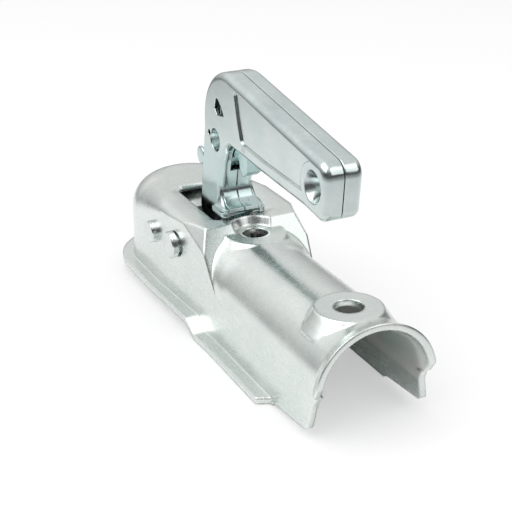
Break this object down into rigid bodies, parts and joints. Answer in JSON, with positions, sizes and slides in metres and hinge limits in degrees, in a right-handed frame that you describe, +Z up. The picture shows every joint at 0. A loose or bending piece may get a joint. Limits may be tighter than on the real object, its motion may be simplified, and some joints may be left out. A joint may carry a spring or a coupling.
{
  "type": "trailer coupling head",
  "caption": "Pressed-steel coupling head for a round drawbar: domed ball housing, hand lever with safety catch, jaw under the ball and half-tube saddle with bolt holes.",
  "frame": {"origin": "centre of the tow ball, which lies on the drawbar's axis", "axes": "+X rearward along the drawbar, +Y to the right hand seen from behind, +Z up"},
  "size_m": [0.2327, 0.0754, 0.1214],
  "materials": {
    "body_zinc": "bright zinc plate, satin",
    "handle_zinc": "bright zinc plate, satin",
    "catch_zinc": "zinc plate, slightly darker",
    "rivet_zinc": "bright zinc plate, smooth",
    "inner_steel": "zinc plate",
    "spring_steel": "drawn wire"
  },
  "bodies": {
    "body": {"coupling_body": "body_zinc", "ball_cup": "inner_steel", "jaw_rivets": "rivet_zinc", "pivot_rivet": "rivet_zinc", "right_spacer": "inner_steel", "left_spacer": "inner_steel", "handle_spring": "spring_steel"},
    "handle": {"left_handle_half": "handle_zinc", "right_handle_half": "handle_zinc", "neck_rivet": "rivet_zinc", "grip_rivet": "rivet_zinc", "pivot_bush": "inner_steel", "drive_pin": "inner_steel", "catch_pin": "inner_steel", "catch_spring": "spring_steel"},
    "jaw": {"locking_jaw": "inner_steel"},
    "catch": {"safety_catch": "catch_zinc"}
  },
  "joints": [
    {"name": "handle_swing", "type": "hinge", "parent": "body", "child": "handle", "pos_m": [0.051, 0, 0.0148], "axis": [0, -1, 0], "range_deg": [0, 40], "stiffness_Nm_per_rad": 1.2, "springref_deg": -20.05},
    {"name": "jaw_swing", "type": "hinge", "parent": "body", "child": "jaw", "pos_m": [0.0265, 0, 0.013], "axis": [0, -1, 0], "range_deg": [0, 13]},
    {"name": "catch_swing", "type": "hinge", "parent": "handle", "child": "catch", "pos_m": [0.089, 0, 0.071], "axis": [0, 1, 0], "range_deg": [0, 4.5], "stiffness_Nm_per_rad": 0.2, "springref_deg": -17.19}
  ],
  "couplings": [
    {"joint": "jaw_swing", "follows": "handle_swing", "ratio": 0.325}
  ]
}
